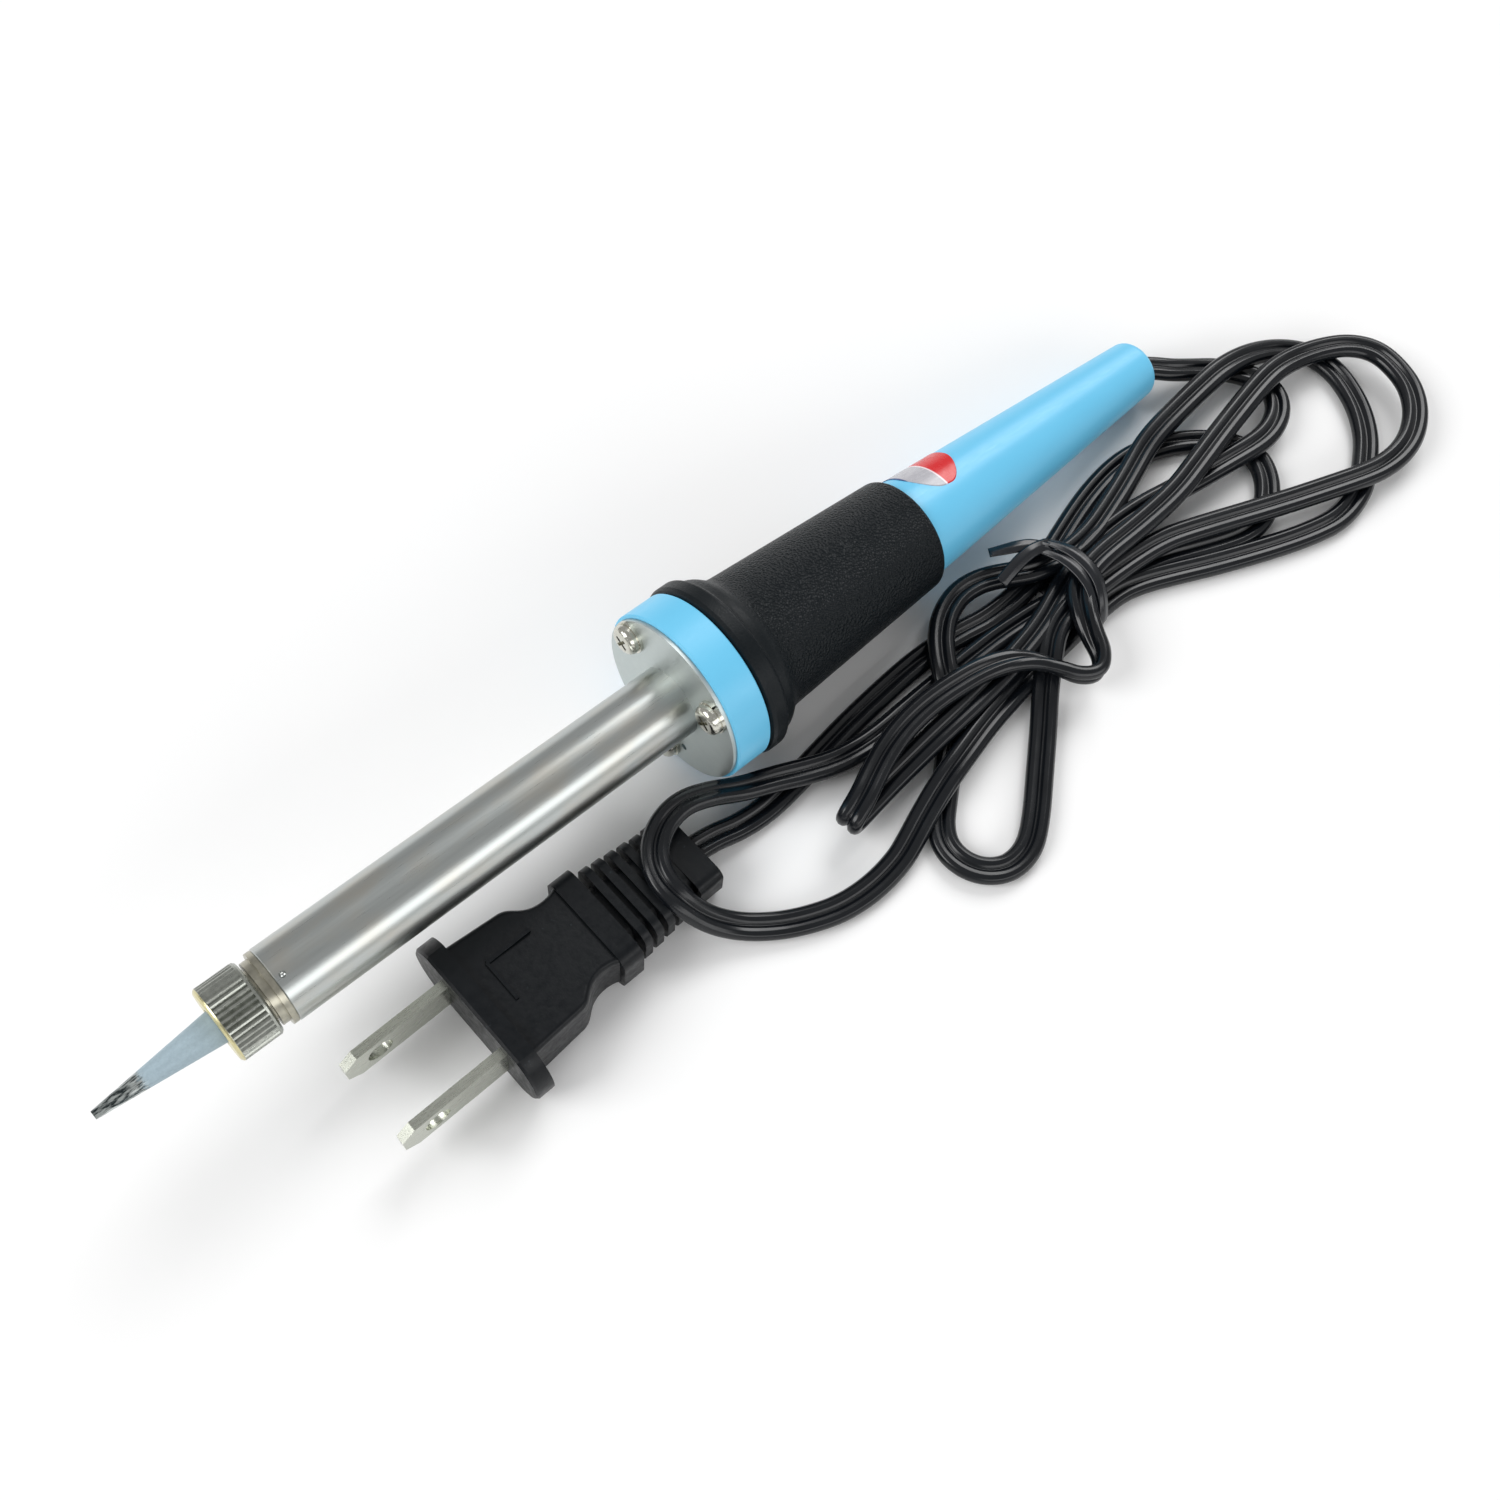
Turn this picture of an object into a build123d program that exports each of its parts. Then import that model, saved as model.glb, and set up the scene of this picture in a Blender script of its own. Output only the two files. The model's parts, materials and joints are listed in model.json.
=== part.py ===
from build123d import *
import os
from math import cos, pi, radians, sin, tan

# Mains soldering iron lying on a table, with its tied hank of flat cord and its two-blade plug.
# Millimetres, +Z up. The origin is the middle of the iron's footprint, on the table.
# The iron's axis is in the XZ plane, with the working tip towards -X.
# Stations are distances along that axis from the very end of the tip.

# ---------------------------------------------------------------- driving dimensions
IRON_LENGTH = 198.0
TILT = 5.58  # the bell rim and the rear end touch the table, so the tip stands up

# Working tip: a plated cone with a chisel end, on a plain shank
EDGE_R = 0.62
CONE_R = 2.5
CONE_END = 18.0
COLLAR_R = 3.6
COLLAR_T = 0.7
SHANK_R = 2.5
SHANK_END = 62.0
CHISEL_LEN = 7.0
CHISEL_HALF = 0.25
CHISEL_TURN = 23.0

# Knurled nut that holds the tip
NUT_FRONT = 17.3
NUT_REAR = 23.5
NUT_R = 5.6
KNURL_DEPTH = 0.32
KNURL_TEETH = 40
NUT_WALL = 1.5
NUT_HOLE_R = 2.72
THREAD_R = 4.2
THREAD_GAP = 0.06

# Threaded bush in the mouth of the barrel
BUSH_FRONT = 19.65
BUSH_BOSS_R = 4.85
BUSH_BOSS_FRONT = 23.9
BUSH_FLANGE_FRONT = 25.0
BUSH_FLANGE_R = 5.55
BUSH_REAR = 30.5
BUSH_BORE_R = 2.62

# Barrel tube
BARREL_R = 5.63
BARREL_WALL = 0.5
BARREL_FRONT = 25.8
BARREL_REAR = 99.0
DIMPLE_STATION = 27.0
DIMPLE_R = 0.5
DIMPLE_AZIMUTH = 17.0

# Heater inside the barrel
CORE_FRONT = 32.0
CORE_REAR = 88.0
CORE_R = 4.0
CORE_BORE_R = 2.75
CORE_RIM_R = 4.95
CORE_RIM_T = 1.5
WINDING_R = 4.45
WINDING_ROOT_R = 4.2
WINDING_RIDGES = 26
MICA_R = 4.8
BEAD_FRONT = 89.0
BEAD_REAR = 95.0
BEAD_R = 5.0
LEAD_R = 0.6
LEAD_SPACING = 3.2
CRIMP_FRONT = 110.0
CRIMP_REAR = 118.0
CRIMP_R = 1.4
CONDUCTOR_R = 1.15

# Mounting plate, its screws and spring washers
PLATE_FRONT = 93.3
PLATE_T = 1.0
PLATE_R = 13.45
VENT_R = 0.55
VENT_CIRCLE_R = 9.6
VENT_TURN = 158
SCREW_CIRCLE_R = 11.0
SCREW_TURNS = (51, 178, 304)
SCREW_HOLE_R = 1.45
SCREW_R = 1.25
SCREW_HEAD_R = 2.35
SCREW_HEAD_H = 1.5
SCREW_LEN = 8.0
SCREW_POINT_LEN = 0.6
SCREW_POINT_R = 0.4
CROWN_R = 1.0
CROSS_LEN = 2.4
CROSS_W = 0.5
CROSS_DEPTH = 0.8
CROSS_TURN = 20
WASHER_TURN = 40
WASHER_R = 2.6
WASHER_T = 0.5
WASHER_SPLIT = 0.35

# Handle: a flange ring, a core under the grip and a tapered rear, all in one piece
RING_FRONT = 93.95
RING_REAR = 100.1
RING_R = 14.0
RING_LIP = 0.3
RECESS_R = 13.5
SHOULDER_R = 12.4
SHOULDER_REAR = 105.0
HANDLE_R_FRONT = 9.55
HANDLE_SLOPE = 0.0625
SLOPE_START = 125.0
REAR_EDGE = 1.0
HANDLE_WALL = 1.8
BORE_END = 191.0
CORD_HOLE_GAP = 0.12

# Rubber grip
BELL_FRONT = 100.2
BELL_R = 14.4
BELL_REAR = 103.4
BELL_EDGE = 0.5
GRIP_FRONT_R = 11.3
GRIP_FRONT = 110.0
GRIP_REAR_R = 9.65
GRIP_REAR = 141.2
GRIP_REAR_EDGE = 0.8

# Wrap-round label
LABEL_STATION = 148.6
LABEL_WIDTH = 9.8
LABEL_REACH = 14.6
LABEL_TURN = -58.0
LABEL_T = 0.1

# Flat two-core cord
CORD_W = 4.4
CORD_T = 2.3
JACKET_FRONT = 150.0
CLAMP_FRONT = 172.0
CLAMP_REAR = 178.0

# Plug, moulded on the cord, lying on the table
PLUG_X = -56.0
PLUG_Y = -16.5
PLUG_YAW = 0.4
PLUG_PITCH = 3.5
FLANGE_T = 2.9
FLANGE_W = 27.2
FLANGE_FLAT_W = 19.6
FLANGE_H = 12.6
FLANGE_CHAMFER = 0.4
BODY_FRONT_W = 19.8
BODY_BELLY_W = 18.6
BODY_WAIST_W = 13.8
BODY_H = 10.6
COLLAR_FRONT = 19.8
COLLAR_REAR = 23.3
COLLAR_W = 17.0
COLLAR_H = 9.9
COLLAR_CORNER = 2.4
BELLY_AT = 11.5
WAIST_FRONT = 14.4
WAIST_REAR = 17.4
BODY_EDGE = 0.8
RELIEF_REAR = 35.6
RELIEF_CORE_W = 9.6
RELIEF_CORE_H = 6.4
RELIEF_CORNER = 2.2
RIBS = 5
RIB_T = 1.3
RIB_W = 15.0
RIB_W_END = 13.6
RIB_H = 8.8
RIB_H_END = 7.2
BLOCK_REAR = 39.9
BLOCK_W = 13.4
BLOCK_H = 6.6
BLOCK_CORNER = 1.6
MARK_T = 0.7
MARK_SINK = 0.6  # how far the mark is rooted in the sloping top
MARK_RISE = 0.1
MARK_CORNER = (5.9, 4.3)
MARK_LEN = 7.4
MARK_SIDE_T = 0.5
MARK_SIDE_LEN = 6.8
BLADE_SPACING = 12.7
BLADE_W = 6.35
BLADE_T = 1.5
BLADE_LEN = 17.2
BLADE_ROOT = 12.0
BLADE_HOLE_R = 1.98
BLADE_HOLE_AT = 11.7
BLADE_CHAMFER_LEN = 2.1
BLADE_CHAMFER_IN = 1.6
BRIDGE_FRONT = 2.0
BRIDGE_REAR = 8.0
BRIDGE_W = 17.4
BRIDGE_H = 7.8
BRIDGE_CORNER = 1.0
PLUG_WIRE_R = 0.75
PLUG_WIRE_SPACING = 2.6
PLUG_WIRE_REAR = 30.0

# Hank: the folded cord, tied at its waist
HANK_H = 8.6
TIE_X = 57.6
TIE_W = 2.4
TIE_T = 0.7
TIE_Y_NEAR = -30.2
TIE_Y_FAR = -13.8
KNOT_LEN = 4.4
KNOT_W = 3.4
KNOT_H = 2.2
TAIL_LEN = 8.5


os.makedirs("parts", exist_ok=True)

# ---------------------------------------------------------------- the iron's own planes
RUN = cos(radians(TILT))
DROP = sin(radians(TILT))
REAR_REACH = 0.35  # what the tilted rear face adds to the length on the table, less the tip's
TIP_Z = BELL_EDGE + (BELL_R - BELL_EDGE) * RUN + (BELL_REAR - BELL_EDGE) * DROP
TIP_X = -(IRON_LENGTH * RUN + REAR_REACH) / 2
AXIS_DIR = (RUN, 0, -DROP)
PROFILE = Plane(origin=(TIP_X, 0, TIP_Z), x_dir=AXIS_DIR, z_dir=(0, -1, 0))
IRON_AXIS = Axis((TIP_X, 0, TIP_Z), AXIS_DIR)


def section(station):
    """Plane across the iron at a station: local X is +Y, local Y is up, normal towards the rear."""
    return Plane(
        origin=(TIP_X + station * RUN, 0, TIP_Z - station * DROP),
        x_dir=(0, 1, 0),
        z_dir=AXIS_DIR,
    )


def rolled_profile(turn):
    """The profile plane rolled about the iron's axis; 90 degrees brings its local Y over to -Y."""
    normal = PROFILE.z_dir * cos(radians(turn)) - PROFILE.y_dir * sin(radians(turn))
    return Plane(origin=PROFILE.origin, x_dir=AXIS_DIR, z_dir=normal)


def turned(plane, turn):
    """A plane turned about its own normal."""
    across = plane.x_dir * cos(radians(turn)) + plane.y_dir * sin(radians(turn))
    return Plane(origin=plane.origin, x_dir=across, z_dir=plane.z_dir)


def around(station, radius, turn):
    """Point at a radius from the iron's axis, turned from the top towards -Y."""
    return section(station).from_local_coords((-radius * sin(radians(turn)), radius * cos(radians(turn)), 0))


ARC_SAG = 1 - cos(radians(45))  # how far the middle of a quarter arc is from its corner's tangents


def handle_radius(station):
    """Outside radius of the tapered handle; it is parallel ahead of SLOPE_START."""
    return HANDLE_R_FRONT - HANDLE_SLOPE * max(0.0, station - SLOPE_START)


def bore_radius(station):
    """Radius of the hollow in the handle."""
    return handle_radius(station) - HANDLE_WALL


def save(builder, name):
    """Label a finished sub-part and write its STEP file."""
    builder.part.label = name
    export_step(builder.part, f"parts/{name}.step")


# ---------------------------------------------------------------- working tip
with BuildPart() as tip:
    with BuildSketch(PROFILE):
        with BuildLine():
            Polyline(
                (0, 0),
                (0, EDGE_R),
                (CONE_END, CONE_R),
                (NUT_FRONT + NUT_WALL + 0.1, CONE_R),
                (NUT_FRONT + NUT_WALL + 0.1, COLLAR_R),
                (NUT_FRONT + NUT_WALL + 0.1 + COLLAR_T, COLLAR_R),
                (NUT_FRONT + NUT_WALL + 0.1 + COLLAR_T, SHANK_R),
                (SHANK_END - 0.5, SHANK_R),
                (SHANK_END, SHANK_R - 0.5),
                (SHANK_END, 0),
                close=True,
            )
        make_face()
    revolve(axis=IRON_AXIS)
    cone_at_chisel = EDGE_R + (CONE_R - EDGE_R) * CHISEL_LEN / CONE_END
    chisel_slope = (cone_at_chisel - CHISEL_HALF) / CHISEL_LEN
    for side in (1, -1):
        with BuildSketch(rolled_profile(CHISEL_TURN)):
            with BuildLine():
                Polyline(
                    (-1, side * (CHISEL_HALF - chisel_slope)),
                    (CHISEL_LEN, side * cone_at_chisel),
                    (CHISEL_LEN, side * 2 * CONE_R),
                    (-1, side * 2 * CONE_R),
                    close=True,
                )
            make_face()
        extrude(amount=2 * CONE_R, both=True, mode=Mode.SUBTRACT)
save(tip, "tip")

# ---------------------------------------------------------------- knurled tip nut
with BuildPart() as tip_nut:
    with BuildSketch(PROFILE):
        with BuildLine():
            Polyline(
                (NUT_FRONT, NUT_HOLE_R),
                (NUT_FRONT, NUT_R - 0.45),
                (NUT_FRONT + 0.25, NUT_R - 0.1),
                (NUT_FRONT + 0.45, NUT_R),
                (NUT_REAR - 0.3, NUT_R),
                (NUT_REAR, NUT_R - 0.3),
                (NUT_REAR, THREAD_R + THREAD_GAP),
                (NUT_FRONT + NUT_WALL, THREAD_R + THREAD_GAP),
                (NUT_FRONT + NUT_WALL, NUT_HOLE_R),
                close=True,
            )
        make_face()
    revolve(axis=IRON_AXIS)
    groove_half = pi * NUT_R / KNURL_TEETH * 0.72
    with BuildSketch(section(NUT_FRONT + 0.5)):
        with PolarLocations(NUT_R - KNURL_DEPTH, KNURL_TEETH):
            Polygon(
                (0, 0),
                (2 * KNURL_DEPTH, -2 * groove_half),
                (2 * KNURL_DEPTH, 2 * groove_half),
                align=None,
            )
    extrude(amount=NUT_REAR - NUT_FRONT - 1.1, mode=Mode.SUBTRACT)
save(tip_nut, "tip_nut")

# ---------------------------------------------------------------- threaded bush
with BuildPart() as neck_bush:
    with BuildSketch(PROFILE):
        with BuildLine():
            Polyline(
                (BUSH_FRONT, BUSH_BORE_R),
                (BUSH_FRONT, THREAD_R - 0.3),
                (BUSH_FRONT + 0.3, THREAD_R),
                (BUSH_BOSS_FRONT - 0.5, THREAD_R),
                (BUSH_BOSS_FRONT - 0.5, THREAD_R - 0.4),
                (BUSH_BOSS_FRONT, THREAD_R - 0.4),
                (BUSH_BOSS_FRONT, BUSH_BOSS_R),
                (BUSH_FLANGE_FRONT, BUSH_BOSS_R),
                (BUSH_FLANGE_FRONT, BUSH_FLANGE_R),
                (BARREL_FRONT, BUSH_FLANGE_R),
                (BARREL_FRONT, BARREL_R - BARREL_WALL),
                (BUSH_REAR, BARREL_R - BARREL_WALL),
                (BUSH_REAR, BUSH_BORE_R),
                close=True,
            )
        make_face()
    revolve(axis=IRON_AXIS)
save(neck_bush, "neck_bush")

# ---------------------------------------------------------------- barrel tube
with BuildPart() as barrel_tube:
    with BuildSketch(section(BARREL_FRONT)):
        Circle(BARREL_R)
        Circle(BARREL_R - BARREL_WALL, mode=Mode.SUBTRACT)
    extrude(amount=BARREL_REAR - BARREL_FRONT)
    chamfer(barrel_tube.edges().filter_by(GeomType.CIRCLE).sort_by(IRON_AXIS)[:2].sort_by(SortBy.RADIUS)[-1], 0.2)
    with Locations(around(DIMPLE_STATION, BARREL_R + 0.15, DIMPLE_AZIMUTH)):
        Sphere(DIMPLE_R, mode=Mode.SUBTRACT)
save(barrel_tube, "barrel_tube")

# ---------------------------------------------------------------- heater: core, winding, wrap, bead, leads
with BuildPart() as heater_core:
    with BuildSketch(PROFILE):
        with BuildLine():
            Polyline(
                (CORE_FRONT, CORE_BORE_R),
                (CORE_FRONT, CORE_RIM_R),
                (CORE_FRONT + CORE_RIM_T, CORE_RIM_R),
                (CORE_FRONT + CORE_RIM_T, CORE_R),
                (CORE_REAR - CORE_RIM_T, CORE_R),
                (CORE_REAR - CORE_RIM_T, CORE_RIM_R),
                (CORE_REAR, CORE_RIM_R),
                (CORE_REAR, 0),
                (SHANK_END + 1.0, 0),
                (SHANK_END + 1.0, CORE_BORE_R),
                close=True,
            )
        make_face()
    revolve(axis=IRON_AXIS)
save(heater_core, "heater_core")

winding_front = CORE_FRONT + CORE_RIM_T + 0.5
winding_pitch = (CORE_REAR - CORE_RIM_T - 0.5 - winding_front) / WINDING_RIDGES
with BuildPart() as heater_winding:
    with BuildSketch(PROFILE):
        with BuildLine():
            ridge_points = [(winding_front, CORE_R)]
            for ridge in range(WINDING_RIDGES):
                start = winding_front + ridge * winding_pitch
                ridge_points.append((start, WINDING_ROOT_R))
                ridge_points.append((start + winding_pitch / 2, WINDING_R))
            ridge_points.append((winding_front + WINDING_RIDGES * winding_pitch, WINDING_ROOT_R))
            ridge_points.append((winding_front + WINDING_RIDGES * winding_pitch, CORE_R))
            Polyline(*ridge_points, close=True)
        make_face()
    revolve(axis=IRON_AXIS)
save(heater_winding, "heater_winding")

with BuildPart() as mica_wrap:
    with BuildSketch(section(winding_front)):
        Circle(MICA_R)
        Circle(WINDING_R, mode=Mode.SUBTRACT)
    extrude(amount=WINDING_RIDGES * winding_pitch)
save(mica_wrap, "mica_wrap")

with BuildPart() as heater_bead:
    with BuildSketch(section(BEAD_FRONT)):
        Circle(BEAD_R)
        with GridLocations(LEAD_SPACING, 0, 2, 1):
            Circle(LEAD_R, mode=Mode.SUBTRACT)
    extrude(amount=BEAD_REAR - BEAD_FRONT)
save(heater_bead, "heater_bead")

with BuildPart() as heater_leads:
    with BuildSketch(section(CORE_REAR)):
        with GridLocations(LEAD_SPACING, 0, 2, 1):
            Circle(LEAD_R)
    extrude(amount=CRIMP_FRONT + 4 - CORE_REAR)
save(heater_leads, "heater_leads")

with BuildPart() as wire_crimps:
    with BuildSketch(section(CRIMP_FRONT)):
        with GridLocations(LEAD_SPACING, 0, 2, 1):
            Circle(CRIMP_R)
            Circle(LEAD_R, mode=Mode.SUBTRACT)
    extrude(amount=CRIMP_REAR - CRIMP_FRONT)
save(wire_crimps, "wire_crimps")

# ---------------------------------------------------------------- inside cord: cores, jacket end, clamp
with BuildPart() as cord_cores:
    with BuildSketch(section(CRIMP_REAR)):
        with GridLocations(LEAD_SPACING, 0, 2, 1):
            Circle(CONDUCTOR_R)
    extrude(amount=JACKET_FRONT - CRIMP_REAR)
save(cord_cores, "cord_cores")

with BuildPart() as cord_inlet:
    with BuildSketch(section(JACKET_FRONT)):
        SlotOverall(CORD_W, CORD_T)
    extrude(amount=IRON_LENGTH - JACKET_FRONT)
save(cord_inlet, "cord_inlet")

with BuildPart() as cord_clamp:
    with BuildSketch(PROFILE):
        with BuildLine():
            Polyline(
                (CLAMP_FRONT, 0),
                (CLAMP_FRONT, bore_radius(CLAMP_FRONT)),
                (CLAMP_REAR, bore_radius(CLAMP_REAR)),
                (CLAMP_REAR, 0),
                close=True,
            )
        make_face()
    revolve(axis=IRON_AXIS)
    with BuildSketch(section(CLAMP_FRONT)):
        SlotOverall(CORD_W, CORD_T)
    extrude(amount=CLAMP_REAR - CLAMP_FRONT, mode=Mode.SUBTRACT)
save(cord_clamp, "cord_clamp")

# ---------------------------------------------------------------- mounting plate
with BuildPart() as flange_plate:
    with BuildSketch(section(PLATE_FRONT)):
        Circle(PLATE_R)
        Circle(BARREL_R, mode=Mode.SUBTRACT)
        for turn in SCREW_TURNS:
            with Locations((-SCREW_CIRCLE_R * sin(radians(turn)), SCREW_CIRCLE_R * cos(radians(turn)))):
                Circle(SCREW_HOLE_R, mode=Mode.SUBTRACT)
        with Locations((-VENT_CIRCLE_R * sin(radians(VENT_TURN)), VENT_CIRCLE_R * cos(radians(VENT_TURN)))):
            Circle(VENT_R, mode=Mode.SUBTRACT)
    extrude(amount=PLATE_T)
save(flange_plate, "flange_plate")

# ---------------------------------------------------------------- screws and spring washers
head_seat = PLATE_FRONT - WASHER_T


def screw_plane(turn):
    """Plane along a screw's own axis: local X is the screw's axis, towards the rear."""
    return Plane(origin=around(0, SCREW_CIRCLE_R, turn), x_dir=AXIS_DIR, z_dir=(0, -1, 0))


with BuildPart() as flange_screws:
    for turn in SCREW_TURNS:
        screw_profile = screw_plane(turn)
        with BuildSketch(screw_profile):
            with BuildLine():
                head_top = Line(
                    (head_seat - SCREW_HEAD_H, 0),
                    (head_seat - SCREW_HEAD_H, SCREW_HEAD_R - CROWN_R),
                )
                crown = ThreePointArc(
                    head_top @ 1,
                    (head_seat - SCREW_HEAD_H + ARC_SAG * CROWN_R, SCREW_HEAD_R - ARC_SAG * CROWN_R),
                    (head_seat - SCREW_HEAD_H + CROWN_R, SCREW_HEAD_R),
                )
                Polyline(
                    crown @ 1,
                    (head_seat, SCREW_HEAD_R),
                    (head_seat, SCREW_R),
                    (head_seat + SCREW_LEN - SCREW_POINT_LEN, SCREW_R),
                    (head_seat + SCREW_LEN, SCREW_POINT_R),
                    (head_seat + SCREW_LEN, 0),
                    head_top @ 0,
                )
            make_face()
        revolve(axis=Axis(screw_profile.origin, AXIS_DIR))
        cross_plane = Plane(
            origin=screw_profile.from_local_coords((head_seat - SCREW_HEAD_H, 0, 0)),
            x_dir=(0, 1, 0),
            z_dir=AXIS_DIR,
        )
        with BuildSketch(turned(cross_plane, turn / 3 + CROSS_TURN)):
            Rectangle(CROSS_LEN, CROSS_W)
            Rectangle(CROSS_W, CROSS_LEN)
        extrude(amount=CROSS_DEPTH, mode=Mode.SUBTRACT)
save(flange_screws, "flange_screws")

with BuildPart() as screw_washers:
    for turn in SCREW_TURNS:
        washer_plane = Plane(
            origin=screw_plane(turn).from_local_coords((head_seat, 0, 0)),
            x_dir=(0, 1, 0),
            z_dir=AXIS_DIR,
        )
        with BuildSketch(turned(washer_plane, turn + WASHER_TURN)):
            Circle(WASHER_R)
            Circle(SCREW_R + 0.1, mode=Mode.SUBTRACT)
            with Locations((WASHER_R, 0)):
                Rectangle(2 * WASHER_R - 1, WASHER_SPLIT, mode=Mode.SUBTRACT)
        extrude(amount=WASHER_T)
save(screw_washers, "screw_washers")

# ---------------------------------------------------------------- handle shell
with BuildPart() as handle:
    with BuildSketch(PROFILE):
        with BuildLine():
            front_edge = Polyline(
                (PLATE_FRONT + PLATE_T, BARREL_R + 0.1),
                (PLATE_FRONT + PLATE_T, RECESS_R),
                (RING_FRONT, RECESS_R),
                (RING_FRONT, RING_R - RING_LIP),
            )
            lip = ThreePointArc(
                front_edge @ 1,
                (RING_FRONT + ARC_SAG * RING_LIP, RING_R - ARC_SAG * RING_LIP),
                (RING_FRONT + RING_LIP, RING_R),
            )
            outside = Polyline(
                lip @ 1,
                (RING_REAR - 0.2, RING_R),
                (RING_REAR, RING_R - 0.2),
                (RING_REAR, SHOULDER_R),
                (SHOULDER_REAR, SHOULDER_R),
                (SHOULDER_REAR + 2.0, HANDLE_R_FRONT),
                (SLOPE_START, HANDLE_R_FRONT),
                (IRON_LENGTH - REAR_EDGE, handle_radius(IRON_LENGTH - REAR_EDGE)),
            )
            rear_round = ThreePointArc(
                outside @ 1,
                (IRON_LENGTH - 0.29, handle_radius(IRON_LENGTH) - 0.25),
                (IRON_LENGTH, handle_radius(IRON_LENGTH) - REAR_EDGE),
            )
            Polyline(
                rear_round @ 1,
                (IRON_LENGTH, 0),
                (BORE_END, 0),
                (BORE_END, bore_radius(BORE_END)),
                (SLOPE_START, bore_radius(SLOPE_START)),
                (SHOULDER_REAR + 2.0, bore_radius(SLOPE_START)),
                (BARREL_REAR + 1.0, bore_radius(SLOPE_START)),
                (BARREL_REAR + 1.0, BARREL_R + 0.1),
                front_edge @ 0,
            )
        make_face()
    revolve(axis=IRON_AXIS)
    with BuildSketch(section(BORE_END)):
        SlotOverall(CORD_W + 2 * CORD_HOLE_GAP, CORD_T + 2 * CORD_HOLE_GAP)
    extrude(amount=IRON_LENGTH - BORE_END, mode=Mode.SUBTRACT)
    with BuildSketch(section(PLATE_FRONT)):
        for turn in SCREW_TURNS:
            with Locations((-SCREW_CIRCLE_R * sin(radians(turn)), SCREW_CIRCLE_R * cos(radians(turn)))):
                Circle(SCREW_R)
    extrude(amount=SCREW_LEN + 1.0, mode=Mode.SUBTRACT)
save(handle, "handle")

# ---------------------------------------------------------------- rubber grip
with BuildPart() as grip_sleeve:
    with BuildSketch(PROFILE):
        with BuildLine():
            rim = Polyline(
                (BELL_FRONT, SHOULDER_R),
                (BELL_FRONT, BELL_R - 0.9),
                (BELL_FRONT + 0.35, BELL_R - 0.25),
                (BELL_FRONT + 0.9, BELL_R),
                (BELL_REAR - BELL_EDGE, BELL_R),
            )
            rim_round = ThreePointArc(
                rim @ 1,
                (BELL_REAR - 0.15, BELL_R - 0.15),
                (BELL_REAR, BELL_R - BELL_EDGE),
            )
            bell = Spline(
                rim_round @ 1,
                (BELL_REAR + 1.6, BELL_R - 1.1),
                (BELL_REAR + 3.6, BELL_R - 2.4),
                (GRIP_FRONT, GRIP_FRONT_R),
                tangents=((0.5, -0.6), (1, -0.06)),
            )
            body_line = Line(bell @ 1, (GRIP_REAR - GRIP_REAR_EDGE, GRIP_REAR_R))
            rear_edge = ThreePointArc(
                body_line @ 1,
                (GRIP_REAR - 0.24, GRIP_REAR_R - 0.24),
                (GRIP_REAR, GRIP_REAR_R - GRIP_REAR_EDGE),
            )
            Polyline(
                rear_edge @ 1,
                (GRIP_REAR, handle_radius(GRIP_REAR)),
                (SLOPE_START, HANDLE_R_FRONT),
                (SHOULDER_REAR + 2.0, HANDLE_R_FRONT),
                (SHOULDER_REAR, SHOULDER_R),
                rim @ 0,
            )
        make_face()
    revolve(axis=IRON_AXIS)
save(grip_sleeve, "grip_sleeve")

# ---------------------------------------------------------------- label
label_front = LABEL_STATION - LABEL_WIDTH
label_rear = LABEL_STATION + LABEL_WIDTH
with BuildPart() as label:
    with BuildSketch(PROFILE):
        with BuildLine():
            Polyline(
                (label_front, handle_radius(label_front)),
                (label_rear, handle_radius(label_rear)),
                (label_rear, handle_radius(label_rear) + LABEL_T),
                (label_front, handle_radius(label_front) + LABEL_T),
                close=True,
            )
        make_face()
    revolve(axis=IRON_AXIS)
    with BuildSketch(rolled_profile(LABEL_TURN - 90)):
        with Locations((LABEL_STATION, 0)):
            RectangleRounded(LABEL_WIDTH, LABEL_REACH, LABEL_WIDTH / 2 - 0.6)
    extrude(amount=2 * HANDLE_R_FRONT, mode=Mode.INTERSECT)
save(label, "label")

# ---------------------------------------------------------------- plug frame
PLUG_Z = FLANGE_H / 2 * cos(radians(PLUG_PITCH)) + FLANGE_T * sin(radians(PLUG_PITCH))
PLUG_DIR = (
    cos(radians(PLUG_YAW)) * cos(radians(PLUG_PITCH)),
    sin(radians(PLUG_YAW)) * cos(radians(PLUG_PITCH)),
    -sin(radians(PLUG_PITCH)),
)
PLUG_UP = (
    cos(radians(PLUG_YAW)) * sin(radians(PLUG_PITCH)),
    sin(radians(PLUG_YAW)) * sin(radians(PLUG_PITCH)),
    cos(radians(PLUG_PITCH)),
)
PLUG = Plane(origin=(PLUG_X, PLUG_Y, PLUG_Z), x_dir=PLUG_DIR, z_dir=PLUG_UP)


def plug_section(depth):
    """Plane across the plug, a depth behind its face: local X across, local Y up, normal to the cord."""
    return Plane(
        origin=PLUG.from_local_coords((depth, 0, 0)),
        x_dir=PLUG.y_dir,
        z_dir=PLUG.x_dir,
    )


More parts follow.
